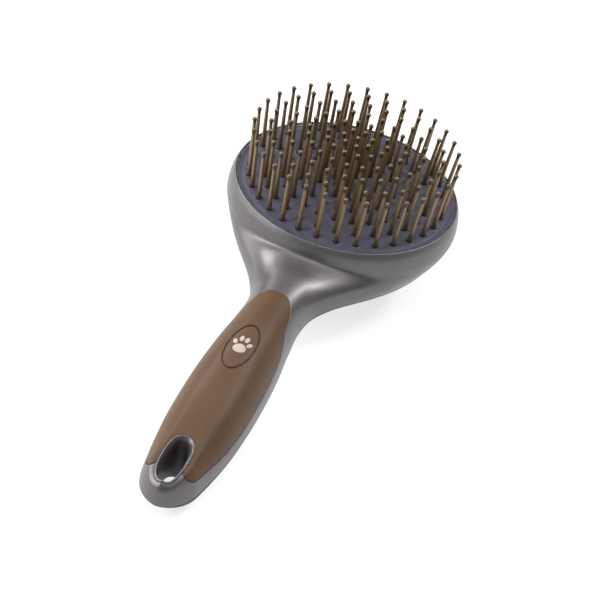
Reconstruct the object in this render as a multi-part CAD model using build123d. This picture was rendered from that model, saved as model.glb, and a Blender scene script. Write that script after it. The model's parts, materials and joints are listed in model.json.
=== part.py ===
from build123d import *
import os
import math

# ---------------------------------------------------------------------------
# Bristle brush for grooming: a round pin head on an ergonomic handle.
# Millimetres.  Origin: centre of the small flat under the head, on the back.
# +Z points out of the pin side, the handle runs along -Y.
# ---------------------------------------------------------------------------

# Head bowl
RIM_Z = 38.0            # height of the bowl's rim above the back flat
RIM_R = 46.0            # outer radius of the rim edge
BACK_FLAT_R = 12.0      # radius of the flat under the head
SEAT_R = 45.20          # inner radius of the rim, which holds the cushion
LEDGE_R = 41.70         # inner radius of the ledge under the cushion's skirt
LEDGE_TOP_Z = 33.0
LEDGE_BOTTOM_Z = 31.2
BOWL_OUTER = [(46.0, 38.0), (47.0, 35.5), (47.6, 32.0), (47.7, 29.0), (47.1, 26.3),
              (45.7, 23.2), (43.1, 19.0), (40.0, 14.0), (36.6, 9.2), (31.0, 4.7),
              (23.0, 1.5), (12.0, 0.0)]
BOWL_INNER = [(44.8, 30.0), (44.5, 27.0), (42.9, 23.0), (40.2, 18.6), (37.0, 13.9),
              (33.4, 9.9), (28.0, 6.2), (20.0, 3.7), (12.0, 2.8)]

# Cushion: a rubber dome held at its edge
DOME_R = 450.0          # sphere radius of the dome's outer face
DOME_TOP_Z = 39.08
PAD_T = 2.0             # rubber thickness
PAD_R = 45.15           # outer radius of the cushion
SKIRT_IN_R = 42.95      # the skirt round the cushion's edge
SKIRT_BOTTOM_Z = 33.05
RING_OUT_R = 42.90      # the ring that spreads the skirt against the rim
RING_IN_R = 41.75
RING_BOTTOM_Z = 33.05
RING_TOP_Z = 34.85

# Pins: (name, base radius, count, phase in degrees)
PIN_RINGS = [("pin_centre", 0.0, 1, 0.0), ("pin_ring_1", 5.7, 7, 26.0),
             ("pin_ring_2", 11.8, 14, 6.6), ("pin_ring_3", 19.1, 20, 7.0),
             ("pin_ring_4", 26.5, 24, 9.0), ("pin_ring_5", 33.8, 28, -0.7),
             ("pin_ring_6", 40.05, 32, 2.5)]
PIN_LEN = 22.9          # from the dome's face to the end of the ball tip
PIN_BASE_R = 0.95
PIN_NECK_R = 0.68
PIN_BALL_R = 1.00
PIN_FOOT_R = 1.55
PIN_FOOT_T = 0.85
PIN_FOOT_GAP = 0.10     # under the rubber
PIN_HOLE_CLEAR = 0.06

# Handle sections: y, half width, height of the widest line, rise above it,
# drop below it
SECTIONS = [
    (-26.0, 21.0, 19.8, 10.5, 8.5),
    (-36.0, 21.0, 19.6, 11.2, 8.4),
    (-43.0, 19.6, 19.4, 11.8, 8.0),
    (-50.0, 16.6, 19.2, 12.2, 7.5),
    (-57.0, 13.7, 18.8, 12.6, 7.1),
    (-65.0, 12.0, 18.1, 13.2, 6.8),
    (-73.0, 11.6, 17.0, 14.1, 6.5),
    (-86.0, 12.4, 14.4, 16.8, 6.4),
    (-100.0, 13.8, 11.8, 19.3, 6.3),
    (-115.0, 14.6, 10.0, 20.3, 6.2),
    (-130.0, 14.7, 8.3, 19.6, 6.0),
    (-145.0, 14.1, 7.0, 17.6, 5.8),
    (-159.0, 12.6, 6.2, 14.8, 5.5),
    (-170.0, 10.8, 6.1, 12.2, 5.3),
    (-177.0, 8.6, 6.4, 10.2, 4.9),
    (-181.0, 5.4, 7.0, 7.6, 3.9),
    (-182.6, 2.4, 7.6, 4.6, 2.4),
]
SECTION_EXP = 2.15      # roundness of the handle's section (2 is an ellipse)
GRIP_T = 1.6            # thickness of the soft grip
SHELL_T = 4.2           # grip thickness plus the shell's wall

# The parting line between front and back shells, in side view: (y, z)
PARTING = [(-200.0, 6.2), (-170.0, 6.1), (-145.0, 7.0), (-130.0, 8.3), (-115.0, 10.0),
           (-100.0, 11.8), (-86.0, 14.2), (-73.0, 16.4), (-58.0, 17.3), (-40.0, 17.4),
           (60.0, 17.4)]
# The front grip's lower edge, in side view: (y, z)
GRIP_EDGE = [(-200.0, 13.5), (-173.0, 13.6), (-160.0, 13.0), (-150.0, 12.8), (-139.0, 13.3),
             (-127.0, 15.0), (-116.0, 16.8), (-106.0, 18.7), (-97.0, 21.0), (-90.0, 23.1),
             (-84.0, 25.4), (-60.0, 33.0), (-20.0, 40.0)]
BACK_GRIP_EDGE = 1.6    # drop from the parting line to the back grip's edge

# Hanging hole, badge and grip outlines, in plan
HOLE_Y = -168.4
HOLE_HALF_W = 3.7
HOLE_HALF_L = 9.2
HOLE_RING = 1.1
BADGE_Y = -111.2
BADGE_HALF_W = 5.0
BADGE_HALF_L = 12.4
GRIP_TOP_Y = -73.0      # the arch at the neck
ARCH_LEN = 13.2
ARCH_HALF_W = 9.8
GRIP_END_Y = -174.4     # the front grip's straight end
BACK_GRIP_TOP_Y = -82.0
BACK_GRIP_END_Y = -150.0
BACK_GRIP_HALF_W = 10.0

# ---------------------------------------------------------------------------
os.makedirs("parts", exist_ok=True)


def save(shape, name):
    export_step(shape, os.path.join("parts", name + ".step"))


def section_face(y, w, zc, up, down, inset=0.0):
    """Closed smooth section of the handle, square to Y."""
    w, up, down = w - inset, up - inset, down - inset
    pts = []
    n = 28
    for i in range(n):
        t = 2 * math.pi * i / n
        c, s = math.cos(t), math.sin(t)
        x = w * math.copysign(abs(c) ** (2 / SECTION_EXP), c)
        rise = up if s >= 0 else down
        z = zc + rise * math.copysign(abs(s) ** (2 / SECTION_EXP), s)
        pts.append(Vector(x, y, z))
    edge = Edge.make_spline(pts, periodic=True)
    return Face(Wire([edge]))


def handle_solid(inset, y_from=None, y_to=None):
    rows = [r for r in SECTIONS
            if (y_from is None or r[0] <= y_from) and (y_to is None or r[0] >= y_to)]
    if inset > 0:
        rows = [r for r in rows if r[1] > inset + 2.0 and r[4] > inset + 0.6]
    return loft([section_face(*r, inset=inset) for r in rows])


def revolve_profile(outer, lines):
    with BuildPart() as p:
        with BuildSketch(Plane.XZ):
            with BuildLine():
                Spline(*outer)
                pts = [outer[-1]] + lines + [outer[0]]
                Polyline(*pts)
            make_face()
        revolve(axis=Axis.Z)
    return p.part


def side_region(curve, z_other):
    """Everything between a side-view curve and a level z_other, for all x."""
    with BuildPart() as p:
        with BuildSketch(Plane.YZ):
            with BuildLine():
                Spline(*curve)
                Polyline(curve[-1], (curve[-1][0], z_other), (curve[0][0], z_other), curve[0])
            make_face()
        extrude(amount=80, both=True)
    return p.part


def oval_prism(y, hw, hl, z0, z1):
    return Pos(0, y, z0) * extrude(Sketch() + Ellipse(hw, hl), amount=z1 - z0)


def slot_prism(y, hw, hl, z0, z1):
    return Pos(0, y, z0) * extrude(Sketch() + Rot(0, 0, 90) * SlotOverall(2 * hl, 2 * hw), amount=z1 - z0)


# --- body blank ------------------------------------------------------------
bowl = revolve_profile(BOWL_OUTER, [(0.0, 0.0), (0.0, RIM_Z)])
handle = handle_solid(0.0)
blank = bowl + handle

# inside of the head: rim seat, ledge and bowl
cavity = revolve_profile(BOWL_INNER, [(0.0, BOWL_INNER[-1][1]), (0.0, 30.0)])
with BuildPart() as neckdown:
    with BuildSketch(Plane.XZ):
        Polygon((0, 29.9), (BOWL_INNER[0][0] - 0.4, 29.9), (LEDGE_R, LEDGE_BOTTOM_Z), (LEDGE_R, LEDGE_TOP_Z),
                (SEAT_R, LEDGE_TOP_Z), (SEAT_R, RIM_Z + 5), (0, RIM_Z + 5), align=None)
    revolve(axis=Axis.Z)
cavity = cavity + neckdown.part

# inside of the handle, kept clear of the grip's seat and of the hanging hole
handle_mid = handle_solid(GRIP_T, y_from=-57.0, y_to=-181.0)
handle_core = handle_solid(SHELL_T, y_from=-80.0, y_to=-150.0)

parting_low = side_region(PARTING, -30.0)
hole = slot_prism(HOLE_Y, HOLE_HALF_W, HOLE_HALF_L, -10, 60)
hole_collar = slot_prism(HOLE_Y, HOLE_HALF_W + HOLE_RING, HOLE_HALF_L + HOLE_RING, -10, 60)

# --- front grip ------------------------------------------------------------
front_zone = side_region(GRIP_EDGE, 70.0)
arch_y = GRIP_TOP_Y - ARCH_LEN
arch = Pos(0, arch_y, -5) * extrude(Sketch() + Ellipse(ARCH_HALF_W, ARCH_LEN), amount=80)
field = Pos(0, (arch_y + GRIP_END_Y) / 2, 35) * Box(60, arch_y - GRIP_END_Y, 80)
grip_zone = front_zone & (field + arch)
skin = (handle & (Pos(0, -118, 20) * Box(80, 122, 80))) - handle_mid
front_grip = (skin & grip_zone) - hole_collar
badge_prism = oval_prism(BADGE_Y, BADGE_HALF_W, BADGE_HALF_L, 20, 60)
badge = front_grip & badge_prism
front_grip = front_grip - badge_prism

# --- back grip -------------------------------------------------------------
back_edge = [(y, z - BACK_GRIP_EDGE) for y, z in PARTING]
back_zone = side_region(back_edge, -30.0)
back_plan = slot_prism((BACK_GRIP_TOP_Y + BACK_GRIP_END_Y) / 2, BACK_GRIP_HALF_W,
                       (BACK_GRIP_TOP_Y - BACK_GRIP_END_Y) / 2, -20, 40)
back_grip = skin & back_zone & back_plan

# --- shells ----------------------------------------------------------------
body = blank - cavity - handle_core - hole
shell_all = body - front_grip - badge - back_grip
back_shell = shell_all & parting_low
front_shell = shell_all - parting_low

# --- cushion and its ring --------------------------------------------------
dome_c = DOME_TOP_Z - DOME_R


def dome_z(r, inset=0.0):
    return dome_c + math.sqrt((DOME_R - inset) ** 2 - r * r)


with BuildPart() as pad_b:
    with BuildSketch(Plane.XZ):
        with BuildLine():
            RadiusArc((0, DOME_TOP_Z), (PAD_R, dome_z(PAD_R)), DOME_R)
            Polyline((PAD_R, dome_z(PAD_R)), (PAD_R, SKIRT_BOTTOM_Z), (SKIRT_IN_R, SKIRT_BOTTOM_Z),
                     (SKIRT_IN_R, dome_z(SKIRT_IN_R, PAD_T)))
            RadiusArc((SKIRT_IN_R, dome_z(SKIRT_IN_R, PAD_T)), (0, DOME_TOP_Z - PAD_T), -(DOME_R - PAD_T))
            Line((0, DOME_TOP_Z - PAD_T), (0, DOME_TOP_Z))
        make_face()
    revolve(axis=Axis.Z)
pad = pad_b.part


def pin_frame(r, ang):
    """Plane at the pin's foot on the dome, its Z along the dome's normal."""
    a = math.radians(ang)
    tilt = math.asin(r / DOME_R)
    o = Vector(r * math.cos(a), r * math.sin(a), dome_z(r))
    nrm = Vector(math.sin(tilt) * math.cos(a), math.sin(tilt) * math.sin(a), math.cos(tilt))
    xd = Vector(-math.sin(a), math.cos(a), 0)
    return Plane(origin=o, x_dir=xd, z_dir=nrm)


foot_top = -PAD_T - PIN_FOOT_GAP
ball_c = PIN_LEN - PIN_BALL_R
joint_z = ball_c - math.sqrt(PIN_BALL_R ** 2 - PIN_NECK_R ** 2)
with BuildPart() as pin_b:
    with BuildSketch(Plane.XZ):
        with BuildLine():
            Polyline((0, foot_top - PIN_FOOT_T), (PIN_FOOT_R, foot_top - PIN_FOOT_T), (PIN_FOOT_R, foot_top),
                     (PIN_BASE_R, foot_top), (PIN_BASE_R, 0.3), (PIN_NECK_R, joint_z))
            ThreePointArc((PIN_NECK_R, joint_z), (PIN_BALL_R, ball_c), (0, PIN_LEN))
            Line((0, PIN_LEN), (0, foot_top - PIN_FOOT_T))
        make_face()
    revolve(axis=Axis.Z)
pin_proto = pin_b.part.solids()[0]

hole_tool = Pos(0, 0, -6) * Cylinder(PIN_BASE_R + PIN_HOLE_CLEAR, 9, align=(Align.CENTER, Align.CENTER, Align.MIN))
hole_tool = hole_tool.solids()[0]

tools = []
for name, r, count, phase in PIN_RINGS:
    pins = []
    for i in range(count):
        pl = pin_frame(r, phase + 360.0 * i / count)
        pins.append(pin_proto.moved(pl.location))
        tools.append(hole_tool.moved(pl.location))
    save(Compound(children=pins), name)
pad = pad - tools

with BuildPart() as ring_b:
    with BuildSketch(Plane.XZ):
        Polygon((RING_IN_R, RING_BOTTOM_Z), (RING_OUT_R, RING_BOTTOM_Z), (RING_OUT_R, RING_TOP_Z),
                (RING_IN_R + 0.5, RING_TOP_Z), (RING_IN_R, RING_TOP_Z - 0.5), align=None)
    revolve(axis=Axis.Z)

for shape, name in ((front_shell, "front_shell"), (back_shell, "back_shell"), (front_grip, "front_grip"),
                    (back_grip, "back_grip"), (badge, "oval_badge"), (pad, "cushion_pad"),
                    (ring_b.part, "cushion_ring")):
    print(name, len(shape.solids()), "solid(s)", round(shape.volume), "mm3")
    save(shape, name)
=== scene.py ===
import json
import math
import bpy
import bmesh
import numpy as np
from mathutils import Matrix, Vector


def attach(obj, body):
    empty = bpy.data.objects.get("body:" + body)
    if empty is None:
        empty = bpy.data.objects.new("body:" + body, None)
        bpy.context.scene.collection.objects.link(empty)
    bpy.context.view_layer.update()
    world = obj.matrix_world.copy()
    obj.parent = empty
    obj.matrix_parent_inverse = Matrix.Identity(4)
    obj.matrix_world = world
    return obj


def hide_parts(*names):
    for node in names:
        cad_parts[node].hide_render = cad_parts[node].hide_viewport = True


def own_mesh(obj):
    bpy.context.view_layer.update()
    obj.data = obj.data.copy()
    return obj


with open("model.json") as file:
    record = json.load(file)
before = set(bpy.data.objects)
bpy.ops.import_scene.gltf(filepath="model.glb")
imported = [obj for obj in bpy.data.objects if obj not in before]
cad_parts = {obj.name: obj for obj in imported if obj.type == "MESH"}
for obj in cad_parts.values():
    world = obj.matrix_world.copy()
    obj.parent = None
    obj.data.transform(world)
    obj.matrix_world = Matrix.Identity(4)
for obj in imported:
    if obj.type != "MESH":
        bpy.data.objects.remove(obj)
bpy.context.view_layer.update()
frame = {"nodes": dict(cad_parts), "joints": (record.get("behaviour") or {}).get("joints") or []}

scene = bpy.context.scene
MM = 0.001

# ---------------------------------------------------------------------------
# Camera: at the photograph's angle, looking along the handle from its end
# ---------------------------------------------------------------------------
AZ, EL, ROLL, DIST, TX, TY = 0.225729, 0.640294, 0.233162, 914.23, -11.931, -16.741
back = Vector((math.sin(AZ) * math.cos(EL), -math.cos(AZ) * math.cos(EL), math.sin(EL)))
right = Vector((math.cos(AZ), math.sin(AZ), 0.0))
up = back.cross(right)
r2 = right * math.cos(ROLL) + up * math.sin(ROLL)
u2 = -right * math.sin(ROLL) + up * math.cos(ROLL)
cam_data = bpy.data.cameras.new("camera")
cam_data.sensor_width = 36.0
cam_data.lens = 132.0
cam = bpy.data.objects.new("camera", cam_data)
scene.collection.objects.link(cam)
loc = (back * DIST + r2 * TX + u2 * TY) * MM
cam.matrix_world = Matrix(((r2.x, u2.x, back.x, loc.x), (r2.y, u2.y, back.y, loc.y),
                           (r2.z, u2.z, back.z, loc.z), (0, 0, 0, 1)))
cam_data.clip_start, cam_data.clip_end = 0.01, 20.0
scene.camera = cam

# ---------------------------------------------------------------------------
# The body as one smooth field, in millimetres: negative inside
# ---------------------------------------------------------------------------
RIM_Z, RIM_R, SEAT_R = 38.0, 46.0, 45.20
BOWL = [(45.2, 42.0), (46.0, 38.0), (47.0, 35.5), (47.6, 32.0), (47.7, 29.0), (47.1, 26.3),
        (45.7, 23.2), (43.1, 19.0), (40.0, 14.0), (36.6, 9.2), (31.0, 4.7), (23.0, 1.5), (12.0, 0.0)]
#      y, half width, widest line, rise, drop
SECT = np.array([
    (-16.0, 25.0, 20.0, 6.0, 8.5),
    (-36.0, 25.0, 19.8, 7.4, 8.4),
    (-43.0, 22.4, 19.6, 9.2, 8.0),
    (-50.0, 19.0, 19.3, 10.9, 7.5),
    (-57.0, 15.8, 18.9, 12.1, 7.1),
    (-65.0, 12.9, 18.1, 13.1, 6.8),
    (-73.0, 11.8, 17.0, 14.1, 6.5),
    (-86.0, 12.4, 14.4, 16.8, 6.4),
    (-100.0, 13.8, 11.8, 19.3, 6.3),
    (-115.0, 14.6, 10.0, 20.3, 6.2),
    (-130.0, 14.7, 8.3, 19.6, 6.0),
    (-145.0, 14.1, 7.0, 17.6, 5.8),
    (-159.0, 12.6, 6.2, 14.8, 5.5),
    (-170.0, 10.9, 6.1, 12.3, 5.2),
    (-186.0, 9.0, 8.0, 9.0, 4.0)])[::-1]
Y_END, Y_CAP = -181.5, -170.5
PARTING = np.array([(-200.0, 6.2), (-170.0, 6.1), (-145.0, 7.0), (-130.0, 8.3), (-115.0, 10.0),
                    (-100.0, 11.8), (-86.0, 14.2), (-73.0, 16.4), (-58.0, 17.3), (-40.0, 17.4), (60.0, 17.4)])
HOLE_Y, HOLE_HW, HOLE_HL, HOLE_RING = -168.4, 4.75, 9.9, 0.40
BADGE_Y, BADGE_HW, BADGE_HL = -111.2, 5.0, 12.4
GRIP_TOP_Y, GRIP_END_Y = -73.0, -174.4
ARCH_LEN, ARCH_HW = 13.2, 9.8
GRIP_EDGE = np.array([(-200.0, 13.5), (-173.0, 13.6), (-160.0, 13.0), (-150.0, 12.8), (-139.0, 13.3),
                      (-127.0, 15.0), (-116.0, 16.8), (-106.0, 18.7), (-97.0, 21.0), (-90.0, 23.1),
                      (-84.0, 25.4), (-60.0, 33.0), (-20.0, 40.0)])


def hermite(xs, ys, x):
    """Smooth curve through the points, flat slopes at the ends."""
    m = np.gradient(ys, xs)
    i = np.clip(np.searchsorted(xs, x) - 1, 0, len(xs) - 2)
    h = xs[i + 1] - xs[i]
    t = np.clip((x - xs[i]) / h, 0, 1)
    t2, t3 = t * t, t * t * t
    return ((2 * t3 - 3 * t2 + 1) * ys[i] + (t3 - 2 * t2 + t) * h * m[i]
            + (-2 * t3 + 3 * t2) * ys[i + 1] + (t3 - t2) * h * m[i + 1])


def smooth(a, b, x):
    t = np.clip((x - a) / (b - a), 0, 1)
    return t * t * t * (t * (6 * t - 15) + 10)


def smax(a, b, k):
    h = np.maximum(k - np.abs(a - b), 0) / k
    return np.maximum(a, b) + h * h * h * k / 6


def smin(a, b, k):
    return -smax(-a, -b, k)


# a fine table of the bowl's profile distance, read with cubic interpolation
def profile_points():
    p = np.array(BOWL)
    s = np.r_[0, np.cumsum(np.hypot(*np.diff(p, axis=0).T))]
    t = np.linspace(0, s[-1], 420)
    return np.stack([hermite(s, p[:, 0], t), hermite(s, p[:, 1], t)], -1)


PROF = profile_points()
PROF[:, 1] = np.maximum(PROF[:, 1], 0.0)
TR, TZ, TH = 72.0, (-16.0, 60.0), 0.5


def build_table():
    rr = np.arange(-3 * TH, TR + 3 * TH, TH)
    zz = np.arange(TZ[0], TZ[1], TH)
    g = np.stack(np.meshgrid(np.abs(rr), zz, indexing="ij"), -1).reshape(-1, 2)
    poly = np.vstack([[(0.0, 42.0)], PROF, [(0.0, 0.0)]])
    a, b = poly[:-1], poly[1:]
    d = np.full(len(g), 1e9)
    inside = np.zeros(len(g), bool)
    for k in range(len(a)):
        e = b[k] - a[k]
        w = g - a[k]
        L = e @ e
        if L < 1e-12:
            continue
        t = np.clip(w @ e / L, 0, 1)
        q = w - t[:, None] * e
        d = np.minimum(d, (q * q).sum(1))
        cond = (a[k][1] > g[:, 1]) != (b[k][1] > g[:, 1])
        with np.errstate(divide="ignore", invalid="ignore"):
            xc = a[k][0] + (g[:, 1] - a[k][1]) * e[0] / (e[1] if e[1] else 1e-12)
        inside ^= cond & (g[:, 0] < xc)
    return (np.sqrt(d) * np.where(inside, -1, 1)).reshape(len(rr), len(zz)), rr[0], zz[0]


TAB, TR0, TZ0 = build_table()


def cubic_w(t):
    return (-0.5 * t ** 3 + t ** 2 - 0.5 * t, 1.5 * t ** 3 - 2.5 * t ** 2 + 1,
            -1.5 * t ** 3 + 2 * t ** 2 + 0.5 * t, 0.5 * t ** 3 - 0.5 * t ** 2)


def bowl_field(r, z):
    u = np.clip((r - TR0) / TH, 1, TAB.shape[0] - 3.001)
    v = np.clip((z - TZ0) / TH, 1, TAB.shape[1] - 3.001)
    i, j = np.floor(u).astype(int), np.floor(v).astype(int)
    wu, wv = cubic_w(u - i), cubic_w(v - j)
    out = 0.0
    for a in range(4):
        row = 0.0
        for b in range(4):
            row = row + wv[b] * TAB[i + a - 1, j + b - 1]
        out = out + wu[a] * row
    return out


def handle_field(x, y, z):
    ys = SECT[:, 0]
    yy = np.clip(y, ys[0], ys[-1])
    W, Z, U, D = (hermite(ys, SECT[:, c], yy) for c in (1, 2, 3, 4))
    dz = z - Z
    ax = np.abs(x)
    n = 2.15
    T = np.where(dz > 0, U, D)
    # the end cap comes to a crease down its middle
    e = np.maximum(0, (Y_CAP - y + 0.18 * (np.sqrt(x * x + 0.04) - 0.2)) / (Y_CAP - Y_END))
    e_in = e ** 2.0
    plain = ((ax / W) ** n + (np.abs(dz) / T) ** n + e_in) ** (1 / n)
    # towards the end the front is faceted: a flat top between two ridges
    wr = 1 - smooth(-150, -108, y)
    xr = np.interp(y, [-183, -176, -170, -162, -155, -148, -133, -118], [7.0, 7.3, 7.2, 6.5, 5.9, 5.5, 5.2, 5.0])
    Tf = 0.985 * U / np.maximum(1 - (xr / W) ** n, 0.2) ** (1 / n)
    flank = ((ax / W) ** n + (np.abs(dz) / Tf) ** n + e_in) ** (1 / n)
    keel = 0.17 * (1 - smooth(-179.5, -173.5, y)) * (np.sqrt(x * x + 0.06) - 0.245) / xr
    top = np.maximum(np.maximum(dz, 0) / U + 0.010 * (ax / xr) ** 2 + keel, 0)
    top = (top ** 3.2 + e_in ** 1.15) ** (1 / 3.2)
    k = np.interp(y, [-184, -172, -150, -125], [0.035, 0.045, 0.08, 0.22])
    ridged = smax(flank, top, k)
    rho = np.where(dz > 0, plain + (ridged - plain) * wr, plain)
    rho = np.maximum(rho, 1e-3)
    length = np.sqrt(x * x + dz * dz + (np.maximum(0, Y_CAP - y)) ** 2) + 0.6
    return length * (1 - 1 / rho)


def body_field(p):
    x, y, z = p[..., 0], p[..., 1], p[..., 2]
    b = bowl_field(np.sqrt(x * x + y * y), z)
    h = handle_field(x, y, z)
    h = smax(h, y + 12.0, 6.0)
    k = 2.0 + 27.0 * smooth(-4.0, 16.0, z) * (1 - smooth(23.0, 35.5, z))
    return smin(b, h, k)


def sdf_slot(x, y, n=2.5):
    """Distance from the hanging hole's outline, an oval a little squarer than an ellipse."""
    u, v = np.abs(x) / HOLE_HW + 1e-6, np.abs(y - HOLE_Y) / HOLE_HL + 1e-6
    q = (u ** n + v ** n) ** (1 / n)
    gu = (u / q) ** (n - 1) / HOLE_HW
    gv = (v / q) ** (n - 1) / HOLE_HL
    return (q - 1) / np.sqrt(gu * gu + gv * gv)


def sdf_oval(x, y):
    q = np.sqrt((x / BADGE_HW) ** 2 + ((y - BADGE_Y) / BADGE_HL) ** 2) + 1e-9
    g = np.sqrt((x / BADGE_HW ** 2) ** 2 + ((y - BADGE_Y) / BADGE_HL ** 2) ** 2) + 1e-9
    return q * (q - 1) / g


def z_part(y):
    return hermite(PARTING[:, 0], PARTING[:, 1], y)


def round_and(a, b, r):
    u, v = np.maximum(r - a, 0), np.maximum(r - b, 0)
    return np.where((u > 0) | (v > 0), r - np.sqrt(u * u + v * v), np.minimum(a, b))


# signed widths of each region, positive inside, about 1 mm per mm near the edge
def g_front(p):
    return p[..., 2] - z_part(p[..., 1])


def g_grip(p):
    x, y, z = p[..., 0], p[..., 1], p[..., 2]
    strip = z - hermite(GRIP_EDGE[:, 0], GRIP_EDGE[:, 1], y)
    cy = GRIP_TOP_Y - ARCH_LEN
    hw = ARCH_HW + 0.04 * np.maximum(cy - y, 0) ** 2
    q = ((np.abs(x) / hw) ** 2.5 + (np.maximum(y - cy, 0) / ARCH_LEN) ** 2.5) ** 0.4
    arch = (1 - q) * 11.0
    end = y - GRIP_END_Y
    # the collar widens into the end cap on both sides of the hole
    ring = sdf_slot(x, y) - (HOLE_RING + 0.12)
    tip = smin(end, ring, 3.2)
    g = round_and(strip, np.where(z > z_part(y), tip, end), 5.0)
    return round_and(g, arch, 3.0)


def g_badge(p):
    return np.where(p[..., 2] > z_part(p[..., 1]), -sdf_oval(p[..., 0], p[..., 1]), -30.0)


def g_back_grip(p):
    x, y, z = p[..., 0], p[..., 1], p[..., 2]
    c, hl, hw = -116.0, 34.0, 10.0
    yy = np.maximum(np.abs(y - c) - (hl - hw), 0)
    return np.minimum(hw - np.sqrt(x * x + yy * yy), z_part(y) - 1.6 - z)


def g_hole(p):
    return sdf_slot(p[..., 0], p[..., 1])


# ---------------------------------------------------------------------------
# Meshing: surface nets, then each vertex is drawn onto the field
# ---------------------------------------------------------------------------
def surface_nets(field, lo, hi, h):
    ax = [np.arange(lo[i], hi[i] + h, h) for i in range(3)]
    X = np.stack(np.meshgrid(*ax, indexing="ij"), -1)
    F = field(X)
    s = F < 0
    nx, ny, nz = F.shape
    acc = np.zeros((nx - 1, ny - 1, nz - 1, 3))
    cnt = np.zeros((nx - 1, ny - 1, nz - 1))
    for axis in range(3):
        a = [slice(None)] * 3
        b = [slice(None)] * 3
        a[axis], b[axis] = slice(0, -1), slice(1, None)
        cross = s[tuple(a)] != s[tuple(b)]
        idx = np.argwhere(cross)
        fa, fb = F[tuple(a)][cross], F[tuple(b)][cross]
        t = fa / (fa - fb)
        pos = X[tuple(a)][cross] + 0.0
        pos[:, axis] += t * h
        o1, o2 = [i for i in range(3) if i != axis]
        for d1 in (0, -1):
            for d2 in (0, -1):
                c = idx.copy()
                c[:, o1] += d1
                c[:, o2] += d2
                ok = (c >= 0).all(1) & (c < np.array(cnt.shape)).all(1)
                np.add.at(acc, tuple(c[ok].T), pos[ok])
                np.add.at(cnt, tuple(c[ok].T), 1)
    used = cnt > 0
    vid = -np.ones(cnt.shape, int)
    vid[used] = np.arange(used.sum())
    V = acc[used] / cnt[used][:, None]
    Q = []
    for axis in range(3):
        a = [slice(None)] * 3
        b = [slice(None)] * 3
        a[axis], b[axis] = slice(0, -1), slice(1, None)
        sa, sb = s[tuple(a)], s[tuple(b)]
        idx = np.argwhere(sa != sb)
        o1, o2 = [(1, 2), (2, 0), (0, 1)][axis]
        c = []
        for d1, d2 in ((0, 0), (-1, 0), (-1, -1), (0, -1)):
            q = idx.copy()
            q[:, o1] += d1
            q[:, o2] += d2
            c.append(q)
        ok = np.all([((q >= 0) & (q < np.array(cnt.shape))).all(1) for q in c], axis=0)
        quad = np.stack([vid[tuple(q[ok].T)] for q in c], -1)
        flip = sa[tuple(idx[ok].T)]
        quad[~flip] = quad[~flip][:, ::-1]
        Q.append(quad)
    return V, np.vstack(Q)


def gradient(field, V, e=0.02):
    G = np.empty_like(V)
    for i in range(3):
        d = np.zeros(3)
        d[i] = e
        G[:, i] = (field(V + d) - field(V - d)) / (2 * e)
    return G


def settle(field, V, steps=4, cap=0.6):
    V = V.copy()
    for _ in range(steps):
        f = field(V)
        G = gradient(field, V)
        d = (f / np.maximum((G * G).sum(1), 1e-6))[:, None] * G
        L = np.linalg.norm(d, axis=1)[:, None]
        V -= d * np.minimum(1, cap / np.maximum(L, 1e-9))
    return V


def quads_to_tris(V, Q):
    d1 = ((V[Q[:, 0]] - V[Q[:, 2]]) ** 2).sum(1)
    d2 = ((V[Q[:, 1]] - V[Q[:, 3]]) ** 2).sum(1)
    s = d1 <= d2
    a, b = Q[s], Q[~s]
    return np.vstack([a[:, [0, 1, 2]], a[:, [0, 2, 3]], b[:, [0, 1, 3]], b[:, [1, 2, 3]]])


def split(V, T, g, level, snap=0.05):
    """Cuts the triangles along g = level. Corners close to the line are moved onto it."""
    s = g(V) - level
    # move nearby corners onto the line, sliding on the surface
    near = np.abs(s) < snap * 0.5
    if near.any():
        W = V[near]
        n = gradient(g, W)
        m = (n * n).sum(1)
        ok = m > 1e-3
        W = W - np.where(ok, s[near] / np.maximum(m, 1e-3), 0)[:, None] * n
        V = V.copy()
        V[near] = W
        s = g(V) - level
        s[near & (np.abs(s) < 0.02)] = 0.0
    pos = s > 0
    neg = s < 0
    tp, tn = pos[T].sum(1), neg[T].sum(1)
    cross = (tp > 0) & (tn > 0)
    keep = T[~cross]
    C = T[cross]
    if len(C) == 0:
        return V, T
    E = np.vstack([C[:, [0, 1]], C[:, [1, 2]], C[:, [2, 0]]])
    Es = np.sort(E, axis=1)
    ex = pos[Es[:, 0]] & neg[Es[:, 1]] | neg[Es[:, 0]] & pos[Es[:, 1]]
    U, inv = np.unique(Es[ex], axis=0, return_inverse=True)
    inv = inv.reshape(-1)
    t = s[U[:, 0]] / (s[U[:, 0]] - s[U[:, 1]])
    N = V[U[:, 0]] + t[:, None] * (V[U[:, 1]] - V[U[:, 0]])
    for _ in range(2):
        r = g(N) - level
        n = gradient(g, N)
        m = (n * n).sum(1)
        N = N - np.clip(np.where(m > 1e-3, r / np.maximum(m, 1e-3), 0), -0.1, 0.1)[:, None] * n
    eid = -np.ones(len(E), int)
    eid[ex] = len(V) + inv
    nc = len(C)
    e = eid.reshape(3, nc).T
    out = []
    for k in range(nc):
        a, b, c = C[k]
        ab, bc, ca = e[k]
        h = (ab >= 0) + (bc >= 0) + (ca >= 0)
        if h == 1:
            if ab >= 0:
                out += [(a, ab, c), (ab, b, c)]
            elif bc >= 0:
                out += [(b, bc, a), (bc, c, a)]
            else:
                out += [(c, ca, b), (ca, a, b)]
        else:
            if ab < 0:
                out += [(c, ca, bc), (ca, a, b), (ca, b, bc)]
            elif bc < 0:
                out += [(a, ab, ca), (ab, b, c), (ab, c, ca)]
            else:
                out += [(b, bc, ab), (bc, c, a), (bc, a, ab)]
    return np.vstack([V, N]), np.vstack([keep, np.array(out)])


def take(V, T, g, level):
    """The triangles where g is above level."""
    s = g(V[T].mean(1)) - level
    return V, T[s > 0]


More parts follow.
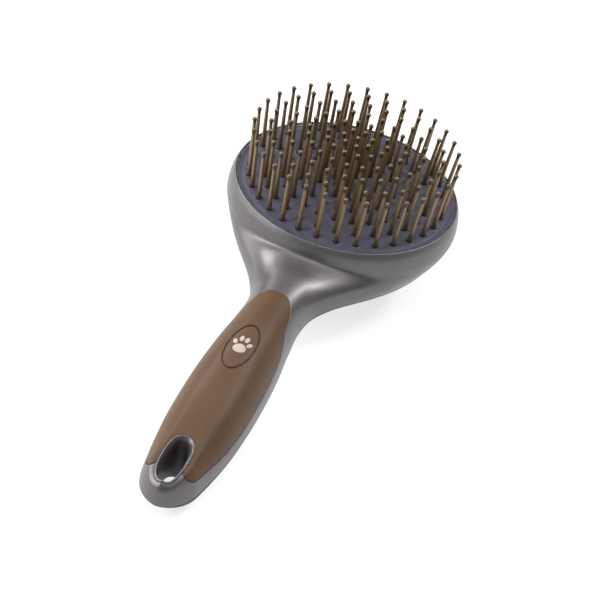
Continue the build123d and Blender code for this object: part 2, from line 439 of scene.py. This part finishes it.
def compact(V, T):
    used = np.unique(T)
    m = -np.ones(len(V), int)
    m[used] = np.arange(len(used))
    return V[used], m[T]


def drop_slivers(V, T):
    """Welds corners closer than 0.015 mm and removes faces with no area and pairs that fold together."""
    key = np.round(V / 0.015).astype(np.int64)
    _, first, inv = np.unique(key, axis=0, return_index=True, return_inverse=True)
    inv = inv.reshape(-1)
    T = first[inv][T]
    ok = (T[:, 0] != T[:, 1]) & (T[:, 1] != T[:, 2]) & (T[:, 2] != T[:, 0])
    T = T[ok]
    _, inv, c = np.unique(np.sort(T, 1), axis=0, return_inverse=True, return_counts=True)
    return compact(V, T[c[inv.reshape(-1)] == 1])


def rounding(g, r):
    """Depth of an edge of radius r at a distance g from the edge."""
    u = np.clip(r - g, 0, r)
    return r - np.sqrt(np.maximum(r * r - u * u, 0))


def thick(V, N, T, t):
    """A closed skin: the outer face, its copy t below, and walls along every border."""
    inner = V - N * t
    E = np.vstack([T[:, [0, 1]], T[:, [1, 2]], T[:, [2, 0]]])
    key = np.sort(E, 1)
    u, inv, c = np.unique(key, axis=0, return_inverse=True, return_counts=True)
    border = E[c[inv.reshape(-1)] == 1]
    n = len(V)
    walls = np.vstack([np.stack([border[:, 1], border[:, 0], border[:, 0] + n], -1),
                       np.stack([border[:, 1], border[:, 0] + n, border[:, 1] + n], -1)])
    return np.vstack([V, inner]), T, T[:, ::-1] + n, walls


def make_mesh(name, V, faces, normals=None, n_smooth=0, mat=None, smooth_angle=None):
    me = bpy.data.meshes.new(name)
    me.from_pydata((V * MM).tolist(), [], faces.tolist() if hasattr(faces, "tolist") else faces)
    me.validate()
    me.update()
    ob = bpy.data.objects.new(name, me)
    scene.collection.objects.link(ob)
    if mat is not None:
        me.materials.append(mat)
    return ob


def skin_piece(name, V, T, field, t, mat, body="root"):
    """Piece of skin with the field's own normals on its outer face."""
    V, T = drop_slivers(V, T)
    G = gradient(field, V)
    N = G / np.maximum(np.linalg.norm(G, axis=1), 1e-9)[:, None]
    A, outer, inner, walls = thick(V, N, T, t)
    F = np.vstack([outer, inner, walls])
    me = bpy.data.meshes.new(name)
    me.from_pydata((A * MM).tolist(), [], F.tolist())
    me.update()
    me.shade_smooth()
    corner = np.zeros((len(F) * 3, 3))
    no, ni = len(outer), len(inner)
    corner[:no * 3] = N[outer.reshape(-1)]
    corner[no * 3:(no + ni) * 3] = -N[(inner - len(V)).reshape(-1)]
    wn = np.cross(A[walls[:, 1]] - A[walls[:, 0]], A[walls[:, 2]] - A[walls[:, 0]])
    wn /= np.maximum(np.linalg.norm(wn, axis=1), 1e-12)[:, None]
    corner[(no + ni) * 3:] = np.repeat(wn, 3, 0)
    me.normals_split_custom_set(corner.tolist())
    me.materials.append(mat)
    ob = bpy.data.objects.new(name, me)
    scene.collection.objects.link(ob)
    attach(ob, body)
    return ob


def revolved(name, prof, n=160, closed=False):
    """Rings of (r, z) points turned about Z, in mm."""
    V, F = [], []
    m = len(prof)
    for i in range(n):
        a = 2 * math.pi * i / n
        for r, z in prof:
            V.append((r * math.cos(a), r * math.sin(a), z))
    for i in range(n):
        j = (i + 1) % n
        for k in range(m if closed else m - 1):
            l = (k + 1) % m
            F.append((i * m + k, j * m + k, j * m + l, i * m + l))
    return np.array(V), F


# ---------------------------------------------------------------------------
# Materials
# ---------------------------------------------------------------------------
def srgb(r, g, b):
    f = lambda c: (c / 255) / 12.92 if c / 255 <= 0.04045 else ((c / 255 + 0.055) / 1.055) ** 2.4
    return (f(r), f(g), f(b), 1.0)


class Nodes:
    def __init__(self, name):
        self.mat = bpy.data.materials.new(name)
        self.mat.use_nodes = True
        self.t = self.mat.node_tree
        self.bsdf = self.t.nodes["Principled BSDF"]
        self.coord = self.t.nodes.new("ShaderNodeTexCoord").outputs["Object"]

    def new(self, kind, **props):
        n = self.t.nodes.new(kind)
        for k, v in props.items():
            setattr(n, k, v)
        return n

    def link(self, a, b):
        self.t.links.new(a, b)

    def noise(self, scale, detail=4.0, rough=0.55, vec=None):
        n = self.new("ShaderNodeTexNoise")
        n.inputs["Scale"].default_value = scale
        n.inputs["Detail"].default_value = detail
        n.inputs["Roughness"].default_value = rough
        self.link(vec or self.coord, n.inputs["Vector"])
        return n.outputs["Fac"]

    def ramp(self, fac, stops):
        r = self.new("ShaderNodeValToRGB")
        el = r.color_ramp.elements
        el[0].position, el[0].color = stops[0]
        el[1].position, el[1].color = stops[-1]
        for p, c in stops[1:-1]:
            e = el.new(p)
            e.color = c
        self.link(fac, r.inputs["Fac"])
        return r.outputs["Color"]

    def range(self, fac, a, b, lo=0.0, hi=1.0):
        m = self.new("ShaderNodeMapRange")
        m.inputs["From Min"].default_value, m.inputs["From Max"].default_value = lo, hi
        m.inputs["To Min"].default_value, m.inputs["To Max"].default_value = a, b
        self.link(fac, m.inputs["Value"])
        return m.outputs["Result"]

    def mix(self, fac, a, b, mode="MIX"):
        m = self.new("ShaderNodeMix", data_type="RGBA", blend_type=mode)
        for s, v in ((m.inputs["Factor"], fac), (m.inputs["A"], a), (m.inputs["B"], b)):
            pass
        socks = [s for s in m.inputs if s.enabled]
        for s, v in zip(socks, (fac, a, b)):
            if hasattr(v, "is_output"):
                self.link(v, s)
            else:
                s.default_value = v
        return [o for o in m.outputs if o.enabled][0]

    def bump(self, height, strength, dist, prev=None):
        b = self.new("ShaderNodeBump")
        b.inputs["Strength"].default_value = strength
        b.inputs["Distance"].default_value = dist
        self.link(height, b.inputs["Height"])
        if prev:
            self.link(prev, b.inputs["Normal"])
        return b.outputs["Normal"]


def silver_material():
    m = Nodes("silver_shell")
    big = m.noise(38, 3)
    fleck = m.noise(5200, 2, 0.7)
    c = m.ramp(big, [(0.3, srgb(94, 91, 92)), (0.7, srgb(101, 98, 99))])
    c = m.mix(m.range(fleck, 0.0, 0.22, 0.45, 0.75), c, srgb(128, 124, 125))
    m.link(c, m.bsdf.inputs["Base Color"])
    m.bsdf.inputs["Metallic"].default_value = 0.75
    m.link(m.range(m.noise(700, 3), 0.37, 0.45), m.bsdf.inputs["Roughness"])
    m.bsdf.inputs["Coat Weight"].default_value = 0.18
    m.bsdf.inputs["Coat Roughness"].default_value = 0.3
    m.link(m.bump(m.noise(2600, 3), 0.06, 0.00004), m.bsdf.inputs["Normal"])
    return m.mat


def grip_material(name="soft_grip", base=(80, 56, 34)):
    m = Nodes(name)
    big = m.noise(24, 3)
    c = m.ramp(big, [(0.3, srgb(*[v - 4 for v in base])), (0.7, srgb(*[v + 4 for v in base]))])
    fine = m.noise(3800, 3, 0.6)
    c = m.mix(m.range(fine, 0.0, 0.12, 0.5, 0.8), c, srgb(*[v + 26 for v in base]))
    m.link(c, m.bsdf.inputs["Base Color"])
    m.link(m.range(m.noise(900, 3), 0.44, 0.54), m.bsdf.inputs["Roughness"])
    m.bsdf.inputs["Sheen Weight"].default_value = 0.03
    m.bsdf.inputs["Specular IOR Level"].default_value = 0.22
    m.bsdf.inputs["Sheen Roughness"].default_value = 0.5
    m.link(m.bump(fine, 0.18, 0.00006, m.bump(m.noise(1300, 2), 0.10, 0.00008)), m.bsdf.inputs["Normal"])
    return m.mat


def pad_material():
    m = Nodes("cushion_rubber")
    big = m.noise(60, 3)
    c = m.ramp(big, [(0.3, srgb(52, 52, 67)), (0.7, srgb(61, 61, 77))])
    fine = m.noise(3000, 3, 0.6)
    c = m.mix(m.range(fine, 0.0, 0.25, 0.5, 0.8), c, srgb(90, 90, 106))
    m.link(c, m.bsdf.inputs["Base Color"])
    m.link(m.range(m.noise(800, 3), 0.5, 0.62), m.bsdf.inputs["Roughness"])
    m.link(m.bump(fine, 0.25, 0.00008), m.bsdf.inputs["Normal"])
    return m.mat


def pin_material():
    m = Nodes("bronze_pin")
    # height along the pin: distance from the dome's centre. The ramp paints shade on the foot and on the lower half of
    # the ball tip, and paints the ball's crown lighter than its underside
    v = m.new("ShaderNodeVectorMath", operation="DISTANCE")
    m.link(m.coord, v.inputs[0])
    v.inputs[1].default_value = (0, 0, (39.08 - 450.0) * MM)
    h = m.range(v.outputs["Value"], 0, 1, 450.0 * MM, 473.0 * MM)
    base = m.ramp(h, [(0.0, srgb(88, 72, 50)), (0.25, srgb(124, 103, 74)), (0.86, srgb(134, 114, 86)),
                      (0.90, srgb(62, 55, 46)), (0.935, srgb(66, 58, 48)), (1.0, srgb(104, 91, 70))])
    c = m.mix(m.range(m.noise(900, 3), 0.0, 0.35, 0.35, 0.8), base, srgb(100, 78, 54))
    m.link(c, m.bsdf.inputs["Base Color"])
    m.bsdf.inputs["Metallic"].default_value = 0.5
    m.link(m.range(m.noise(1500, 2), 0.30, 0.40), m.bsdf.inputs["Roughness"])
    m.link(m.bump(m.noise(4000, 2), 0.08, 0.00004), m.bsdf.inputs["Normal"])
    return m.mat


def plain_material(name, rgb, rough=0.5, metallic=0.0):
    m = Nodes(name)
    c = m.ramp(m.noise(700, 3), [(0.3, srgb(*[max(v - 6, 0) for v in rgb])), (0.7, srgb(*[min(v + 6, 255) for v in rgb]))])
    m.link(c, m.bsdf.inputs["Base Color"])
    m.link(m.range(m.noise(1200, 3), rough - 0.05, rough + 0.05), m.bsdf.inputs["Roughness"])
    m.bsdf.inputs["Metallic"].default_value = metallic
    m.link(m.bump(m.noise(3500, 2), 0.1, 0.00004), m.bsdf.inputs["Normal"])
    return m.mat


SILVER, GRIP, PAD, PIN = silver_material(), grip_material(), pad_material(), pin_material()
BADGE = grip_material("badge_plastic", (84, 60, 43))
# a darker brown for the groove round the badge: painted shade in the gap
GROOVE_SHADE = grip_material("badge_groove_painted_shade", (52, 34, 25))
BADGE.node_tree.nodes["Principled BSDF"].inputs["Sheen Weight"].default_value = 0.0
PALE = plain_material("pale_print", (172, 155, 147), 0.55)
BLACK = plain_material("black_moulding", (38, 36, 36), 0.5)
# a darker grey for the deep inner wall of the hanging hole: painted shade in the recess
HOLE_WALL_SHADE = plain_material("hole_wall_painted_shade", (62, 59, 59), 0.5, 0.3)

# ---------------------------------------------------------------------------
# The body's pieces
# ---------------------------------------------------------------------------
H = 0.75
V0, Q0 = surface_nets(body_field, (-51, -187, -4), (51, 51, 40.5), H)
V0 = settle(body_field, V0)
T0 = quads_to_tris(V0, Q0)

EDGE = (0.0, 0.05, 0.13, 0.28)     # lines laid beside each edge


def cut_all(V, T, cuts):
    for g, levels in cuts:
        for lv in levels:
            V, T = split(V, T, g, lv)
    return V, T


neg = lambda g: (lambda p: -g(p))
R_E = 0.28


# front shell: above the parting line, outside the grip and badge
def rim_edge(p):
    return 37.55 - p[..., 2]


COLLAR = 0.50      # the collar's outer edge, outside the hole's outline


def F_front(p):
    f = body_field(p)
    top = p[..., 2] > z_part(p[..., 1])
    return (f + rounding(g_front(p) - 0.05, R_E) + rounding(-g_grip(p), R_E)
            + np.where(top, rounding(g_hole(p) - COLLAR - 0.06, 0.2), 0))


W = COLLAR + 0.06
Vf, Tf = take(V0, T0, g_front, -1.5)
Vf, Tf = compact(Vf, Tf)
Vf, Tf = cut_all(Vf, Tf, [(g_front, (0.05, 0.10, 0.18, 0.33)), (g_grip, (0.0, -0.05, -0.13, -0.28)),
                          (g_hole, (W, W + 0.05, W + 0.12, W + 0.22)),
                          (rim_edge, (0.0,))])
S, T = take(Vf, Tf, g_front, 0.05)
S, T = take(S, T, neg(g_grip), 0.0)
S, T = take(S, T, g_hole, W)
S, T = take(S, T, rim_edge, 0.0)
S, T = compact(S, T)
S = settle(F_front, S, 3)
front_shell = skin_piece("front_shell_skin", S, T, F_front, 1.6, SILVER)

# back shell
def F_back(p):
    return body_field(p) + rounding(-g_front(p) - 0.05, R_E) + rounding(-g_back_grip(p), R_E) + rounding(g_hole(p), 0.8)


Vb, Tb = take(V0, T0, neg(g_front), -1.5)
Vb, Tb = compact(Vb, Tb)
Vb, Tb = cut_all(Vb, Tb, [(g_front, (-0.05, -0.10, -0.18, -0.33)), (g_back_grip, (0.0, -0.05, -0.13, -0.28)),
                          (g_hole, (0.0, 0.1, 0.25, 0.5, 0.8))])
S, T = take(Vb, Tb, neg(g_front), 0.05)
S, T = take(S, T, neg(g_back_grip), 0.0)
S, T = take(S, T, g_hole, 0.0)
S, T = compact(S, T)
S = settle(F_back, S, 3)
back_shell = skin_piece("back_shell_skin", S, T, F_back, 1.6, SILVER)


# front grip
def F_grip(p):
    return body_field(p) - 0.06 + rounding(g_grip(p) - 0.03, R_E) + rounding(-g_badge(p) - 0.42, R_E)


Vg, Tg = take(V0, T0, g_grip, -1.5)
Vg, Tg = compact(Vg, Tg)
Vg, Tg = cut_all(Vg, Tg, [(g_grip, (0.03, 0.08, 0.16, 0.31)), (g_badge, (-0.42, -0.47, -0.55, -0.7))])
S, T = take(Vg, Tg, g_grip, 0.03)
S, T = take(S, T, neg(g_badge), 0.42)
S, T = compact(S, T)
S = settle(F_grip, S, 3)
front_grip = skin_piece("front_grip_skin", S, T, F_grip, 1.5, GRIP)


# oval badge
def F_badge(p):
    return body_field(p) - 0.10 + rounding(g_badge(p) - 0.05, R_E)


Vg, Tg = take(V0, T0, g_badge, -1.5)
Vg, Tg = compact(Vg, Tg)
Vg, Tg = cut_all(Vg, Tg, [(g_badge, (0.05, 0.10, 0.18, 0.33))])
S, T = take(Vg, Tg, g_badge, 0.05)
S, T = compact(S, T)
S = settle(F_badge, S, 3)
badge = skin_piece("oval_badge_plate", S, T, F_badge, 1.3, BADGE)


# a dark sheet sunk in the groove round the badge: painted shade in the gap
def F_groove(p):
    return body_field(p) + 0.30


def g_band(p):
    d = g_badge(p)
    return np.maximum(-0.9 - d, d - 0.6)


Vg, Tg = take(V0, T0, g_badge, -1.8)
Vg, Tg = compact(Vg, Tg)
Vg, Tg = cut_all(Vg, Tg, [(g_badge, (-0.9, 0.6))])
S, T = take(Vg, Tg, g_badge, -0.9)
S, T = take(S, T, neg(g_badge), -0.6)
S, T = compact(S, T)
S = settle(F_groove, S, 4)
groove = skin_piece("badge_groove_floor", S, T, F_groove, 0.6, GROOVE_SHADE)


# back grip
def F_bgrip(p):
    return body_field(p) - 0.06 + rounding(g_back_grip(p) - 0.03, R_E)


Vg, Tg = take(V0, T0, g_back_grip, -1.5)
Vg, Tg = compact(Vg, Tg)
Vg, Tg = cut_all(Vg, Tg, [(g_back_grip, (0.03, 0.08, 0.16, 0.31))])
S, T = take(Vg, Tg, g_back_grip, 0.03)
S, T = compact(S, T)
S = settle(F_bgrip, S, 3)
back_grip = skin_piece("back_grip_skin", S, T, F_bgrip, 1.5, GRIP)

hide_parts("front_shell")
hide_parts("back_shell")
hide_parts("front_grip")
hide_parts("back_grip")
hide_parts("oval_badge")


def surface_z(x, y, top=True, field=body_field):
    """Height of the body's face at (x, y), by bisection."""
    x, y = np.broadcast_arrays(np.asarray(x, float), np.asarray(y, float))
    zm = z_part(y)
    a, b = zm.copy(), zm + (45.0 if top else -30.0)
    for _ in range(40):
        m = (a + b) / 2
        ins = field(np.stack([x, y, m], -1)) < 0
        a, b = np.where(ins, m, a), np.where(ins, b, m)
    return (a + b) / 2


# rim: the rounded lip of the bowl, and the seat wall inside it
prof = [(46.14, 37.58)]
for k in range(9):
    a = math.pi * k / 8
    prof.append((45.66 + 0.42 * math.cos(a), 37.62 + 0.38 * math.sin(a)))
prof += [(45.22, 36.4), (45.22, 33.4), (46.0, 33.4), (46.2, 35.8)]
Vr, Fr = revolved("rim", prof, 256, closed=True)
rim = make_mesh("front_shell_rim", Vr, Fr, mat=SILVER)
rim.data.shade_smooth()
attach(rim, "root")

# the tube of the hanging hole, from collar to back
n = 160
tt = np.linspace(0, 2 * np.pi, n, endpoint=False)


def slot_path(off, e=2 / 2.5):
    a, b = HOLE_HW + off, HOLE_HL + off
    return np.array([(a * abs(math.cos(t)) ** e * (1 if math.cos(t) >= 0 else -1),
                      HOLE_Y + b * abs(math.sin(t)) ** e * (1 if math.sin(t) >= 0 else -1)) for t in tt])


p0, pout = slot_path(0.0), slot_path(0.9)
zt, zb = surface_z(p0[:, 0], p0[:, 1]), surface_z(p0[:, 0], p0[:, 1], False)
zt_o, zb_o = surface_z(pout[:, 0], pout[:, 1]), surface_z(pout[:, 0], pout[:, 1], False)
rows = []
for off, up in ((COLLAR, -1.3), (COLLAR, -0.08), (COLLAR - 0.03, 0.05), (COLLAR - 0.10, 0.13), (COLLAR - 0.22, 0.19),
                (0.12, 0.21), (0.0, 0.18), (-0.10, 0.10), (-0.20, -0.04)):
    q = slot_path(off)
    rows.append(np.c_[q, surface_z(q[:, 0], q[:, 1]) + up])
for off, depth in ((-0.38, 0.34), (-0.62, 0.74), (-0.86, 1.25), (-1.03, 1.85), (-1.1, 2.7)):
    rows.append(np.c_[slot_path(off), zt - depth])
for f in (0.3, 0.5, 0.7):
    rows.append(np.c_[slot_path(-1.1), zt + (zb - zt) * f])
for off, depth in ((-1.05, 2.6), (-0.85, 1.7), (-0.4, 1.05), (0.0, 0.75)):
    rows.append(np.c_[slot_path(off), zb + depth])
rows.append(np.c_[pout, zb_o + 1.2])
V = np.vstack(rows)
m = len(rows)
F = []
for i in range(n):
    j = (i + 1) % n
    for k in range(m):
        l = (k + 1) % m
        F.append((k * n + i, l * n + i, l * n + j, k * n + j))
liner = make_mesh("front_shell_hole_tube", V, F, mat=SILVER)
# the deeper rows of the hole's wall take the darker grey as painted shade
liner.data.materials.append(HOLE_WALL_SHADE)
for f in liner.data.polygons:
    if f.index % m in range(11, m - 2):
        f.material_index = 1
liner.data.shade_smooth()
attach(liner, "root")

# ---------------------------------------------------------------------------
# Paw print on the badge, in place of lettering
# ---------------------------------------------------------------------------
def blob(cx, cy, a, b, rot=0.0, n=28, squash=1.0):
    pts = []
    for i in range(n):
        t = 2 * math.pi * i / n
        u, v = a * math.cos(t), b * math.sin(t) * (squash if math.sin(t) < 0 else 1.0)
        pts.append((cx + u * math.cos(rot) - v * math.sin(rot), cy + u * math.sin(rot) + v * math.cos(rot)))
    return pts


def print_shape(name, shapes):
    V, F = [], []
    for pts in shapes:
        c = np.mean(pts, axis=0)
        rings = [(1.0, -0.03), (1.0, 0.06), (0.9, 0.11), (0.6, 0.12), (0.3, 0.12)]
        base = len(V)
        nn = len(pts)
        for s, h in rings:
            q = np.array([c + (np.array(p) - c) * s for p in pts])
            z = surface_z(q[:, 0], q[:, 1]) + 0.10 + h
            V += np.c_[q, z].tolist()
        zc = float(surface_z(c[0], c[1])) + 0.10 + 0.12
        V.append([c[0], c[1], zc])
        V.append([c[0], c[1], zc - 0.15])
        top_i, bot_i = len(V) - 2, len(V) - 1
        for k in range(len(rings) - 1):
            for i in range(nn):
                j = (i + 1) % nn
                F.append((base + k * nn + i, base + k * nn + j, base + (k + 1) * nn + j, base + (k + 1) * nn + i))
        L = base + (len(rings) - 1) * nn
        for i in range(nn):
            j = (i + 1) % nn
            F.append((L + i, L + j, top_i))
            F.append((base + j, base + i, bot_i))
    ob = make_mesh(name, np.array(V), F, mat=PALE)
    ob.data.shade_smooth()
    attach(ob, "root")
    return ob


by = BADGE_Y
paw = print_shape("badge_paw_print", [
    blob(0, by - 2.1, 2.5, 2.6, squash=0.85),
    blob(-2.85, by + 1.3, 0.80, 1.45, 0.40), blob(-1.08, by + 3.5, 0.86, 1.6, 0.10),
    blob(1.08, by + 3.5, 0.86, 1.6, -0.10), blob(2.85, by + 1.3, 0.80, 1.45, -0.40)])

# ---------------------------------------------------------------------------
# Cushion: a rubber dome with a raised collar round each pin
# ---------------------------------------------------------------------------
DOME_R, DOME_TOP = 450.0, 39.08
RINGS = [("pin_centre", 0.0, 1, 0.0), ("pin_ring_1", 5.7, 7, 26.0), ("pin_ring_2", 11.8, 14, 6.6),
         ("pin_ring_3", 19.1, 20, 7.0), ("pin_ring_4", 26.5, 24, 9.0), ("pin_ring_5", 33.8, 28, -0.7),
         ("pin_ring_6", 40.05, 32, 2.5)]
PINS = np.array([(r * math.cos(math.radians(ph + 360 * i / c)), r * math.sin(math.radians(ph + 360 * i / c)))
                 for _, r, c, ph in RINGS for i in range(c)])
DC = DOME_TOP - DOME_R


def dome_z(r, inset=0.0):
    return DC + np.sqrt((DOME_R - inset) ** 2 - r * r)


def pin_dist(p):
    x = p[..., :2]
    d = np.full(x.shape[:-1], 1e9)
    for q in PINS:
        d = np.minimum(d, (x[..., 0] - q[0]) ** 2 + (x[..., 1] - q[1]) ** 2)
    return np.sqrt(d)


PAD_EDGE = 45.15


def pad_rim(p):
    return PAD_EDGE - np.sqrt(p[..., 0] ** 2 + p[..., 1] ** 2)


h = 0.62
gx = np.arange(-46, 46 + h, h)
G = np.stack(np.meshgrid(gx, gx, indexing="ij"), -1)
nx = len(gx)
V = np.c_[G.reshape(-1, 2), np.zeros(nx * nx)]
i, j = np.meshgrid(np.arange(nx - 1), np.arange(nx - 1), indexing="ij")
q = np.stack([i * nx + j, (i + 1) * nx + j, (i + 1) * nx + j + 1, i * nx + j + 1], -1).reshape(-1, 4)
T = quads_to_tris(V, q)
near = np.sqrt((V[T].mean(1)[:, :2] ** 2).sum(1)) < PAD_EDGE + 1.2
V, T = compact(V, T[near])
V, T = cut_all(V, T, [(pad_rim, (0.0, 0.12, 0.35)), (pin_dist, (1.1, 1.18, 1.32, 1.6, 1.9, 2.2))])
V, T = take(V, T, pad_rim, 0.0)
V, T = take(V, T, pin_dist, 1.1)
V, T = drop_slivers(V, T)


def pad_height(p):
    r = np.sqrt(p[..., 0] ** 2 + p[..., 1] ** 2)
    d = pin_dist(p)
    collar = 0.40 * smooth(2.25, 1.55, d) - 0.28 * rounding(d - 1.1, 0.22) / 0.22
    edge = rounding(pad_rim(p), 0.35)
    lip = 0.16 * np.exp(-((r - 43.0) / 0.4) ** 2)
    return dome_z(r) + collar - edge - lip


V[:, 2] = pad_height(V)
e = 0.02
gxn = (pad_height(V + [e, 0, 0]) - pad_height(V - [e, 0, 0])) / (2 * e)
gyn = (pad_height(V + [0, e, 0]) - pad_height(V - [0, e, 0])) / (2 * e)
N = np.stack([-gxn, -gyn, np.ones(len(V))], -1)
N /= np.linalg.norm(N, axis=1)[:, None]
inner = V.copy()
inner[:, 2] = dome_z(np.hypot(V[:, 0], V[:, 1])) - 1.9
n0 = len(V)
_, outer_t, inner_t, walls_t = thick(V, N, T, 1.0)
A = np.vstack([V, inner])
F = np.vstack([outer_t, inner_t, walls_t])
me = bpy.data.meshes.new("cushion_dome")
me.from_pydata((A * MM).tolist(), [], F.tolist())
me.update()
me.shade_smooth()
corner = np.zeros((len(F) * 3, 3))
no = len(outer_t)
corner[:no * 3] = N[outer_t.reshape(-1)]
corner[no * 3:2 * no * 3] = (0, 0, -1)
wn = np.cross(A[walls_t[:, 1]] - A[walls_t[:, 0]], A[walls_t[:, 2]] - A[walls_t[:, 0]])
wn /= np.maximum(np.linalg.norm(wn, axis=1), 1e-12)[:, None]
corner[2 * no * 3:] = np.repeat(wn, 3, 0)
me.normals_split_custom_set(corner.tolist())
me.materials.append(PAD)
pad = bpy.data.objects.new("cushion_dome", me)
scene.collection.objects.link(pad)
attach(pad, "root")
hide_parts("cushion_pad")
lead = [jt for jt in frame["joints"] if jt["name"] == "ring_3_press"][0]
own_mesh(pad)

# ---------------------------------------------------------------------------
# Pins: tapered, with a soft foot fillet and a ball tip
# ---------------------------------------------------------------------------
PIN_LEN, BALL_R, BASE_R, NECK_R = 22.9, 1.00, 0.95, 0.68
ball_c = PIN_LEN - BALL_R
prof = [(0.0, -2.95), (1.45, -2.95), (1.55, -2.85), (1.55, -2.2), (1.45, -2.1), (BASE_R, -2.1), (BASE_R, 0.2)]
for s in np.linspace(0.08, 1.0, 6):
    prof.append((BASE_R + (NECK_R - BASE_R) * s, 0.3 + (ball_c - 1.35 - 0.3) * s))
a0 = math.asin((NECK_R + 0.04) / BALL_R)
prof.append((NECK_R + 0.03, ball_c - BALL_R * math.cos(a0) - 0.12))
for k in range(9):
    a = a0 + (math.pi - a0) * k / 8
    prof.append((max(BALL_R * math.sin(a), 0.0), ball_c - BALL_R * math.cos(a)))
prof[-1] = (0.0, PIN_LEN)
prof = np.array(prof)
SEG = 20
ang = np.linspace(0, 2 * np.pi, SEG, endpoint=False)
ringv = [(0.0, 0.0, prof[0, 1])]
for r, z in prof[1:-1]:
    ringv += [(r * math.cos(a), r * math.sin(a), z) for a in ang]
ringv.append((0.0, 0.0, PIN_LEN))
PV = np.array(ringv)
PF = []
m = len(prof) - 2
for k in range(SEG):
    l = (k + 1) % SEG
    PF.append((0, 1 + l, 1 + k))
    for r in range(m - 1):
        b0, b1 = 1 + r * SEG, 1 + (r + 1) * SEG
        PF.append((b0 + k, b0 + l, b1 + l, b1 + k))
    PF.append((1 + (m - 1) * SEG + k, 1 + (m - 1) * SEG + l, 1 + m * SEG))

for name, r, count, ph in RINGS:
    VV, FF = [], []
    for i in range(count):
        a = math.radians(ph + 360.0 * i / count)
        tilt = math.asin(r / DOME_R)
        nz = np.array([math.sin(tilt) * math.cos(a), math.sin(tilt) * math.sin(a), math.cos(tilt)])
        xd = np.array([-math.sin(a), math.cos(a), 0.0])
        yd = np.cross(nz, xd)
        o = np.array([r * math.cos(a), r * math.sin(a), float(dome_z(r))])
        base = sum(len(v) for v in VV)
        VV.append(o + PV[:, :1] * xd + PV[:, 1:2] * yd + PV[:, 2:3] * nz)
        FF += [tuple(base + t for t in f) for f in PF]
    ob = make_mesh(name + "_moulded", np.vstack(VV), FF, mat=PIN)
    ob.data.shade_smooth()
    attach(ob, name)
    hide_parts(name)

# the hidden clamping ring stays as it is, in black moulding
ring = frame["nodes"]["cushion_ring"]
if ring.data.materials:
    for k in range(len(ring.data.materials)):
        ring.data.materials[k] = BLACK
else:
    ring.data.materials.append(BLACK)

# ---------------------------------------------------------------------------
# Floor and light
# ---------------------------------------------------------------------------
fm = bpy.data.meshes.new("floor")
s = 3.0
fm.from_pydata([(-s, -s, -0.0003), (s, -s, -0.0003), (s, s, -0.0003), (-s, s, -0.0003)], [], [(0, 1, 2, 3)])
floor = bpy.data.objects.new("floor", fm)
scene.collection.objects.link(floor)
fmat = bpy.data.materials.new("white_floor")
fmat.use_nodes = True
fb = fmat.node_tree.nodes["Principled BSDF"]
fb.inputs["Base Color"].default_value = (0.35, 0.35, 0.35, 1)
fb.inputs["Emission Color"].default_value = (1.0, 1.0, 1.0, 1)
fb.inputs["Emission Strength"].default_value = 0.72
fb.inputs["Roughness"].default_value = 0.9
fb.inputs["Specular IOR Level"].default_value = 0.0
fm.materials.append(fmat)

world = bpy.data.worlds.new("studio")
scene.world = world
world.use_nodes = True
bg = world.node_tree.nodes["Background"]
bg.inputs["Color"].default_value = (1.0, 1.0, 1.0, 1)
bg.inputs["Strength"].default_value = 0.2


def area(name, pos, target, size, power, size_y=None):
    d = bpy.data.lights.new(name, "AREA")
    d.energy = power
    d.shape = "RECTANGLE"
    d.size, d.size_y = size, size_y or size
    o = bpy.data.objects.new(name, d)
    scene.collection.objects.link(o)
    o.location = pos
    o.rotation_mode = "QUATERNION"
    o.rotation_quaternion = (Vector(target) - Vector(pos)).to_track_quat("-Z", "Y")
    return o


NECK = Vector((0.0, -0.058, 0.03))


def toward(direction, dist):
    return NECK + Vector(direction).normalized() * dist


area("overhead", (0.0, 0.0, 1.4), (0.0, -0.06, 0.0), 2.2, 27.5)
area("back_left", toward((-0.65, 0.49, 0.58), 0.9), NECK, 0.2, 3.0)
area("back_right", toward((0.48, 0.57, 0.66), 0.9), NECK, 0.2, 3.7)
area("left_fill", toward((-1.0, -0.05, 0.3), 1.1), NECK, 0.8, 6.0)
area("front_left", toward((-0.75, -0.5, 0.42), 1.0), (0, -0.08, 0.03), 0.45, 5.5)

scene.view_settings.view_transform = "Standard"
scene.view_settings.look = "None"
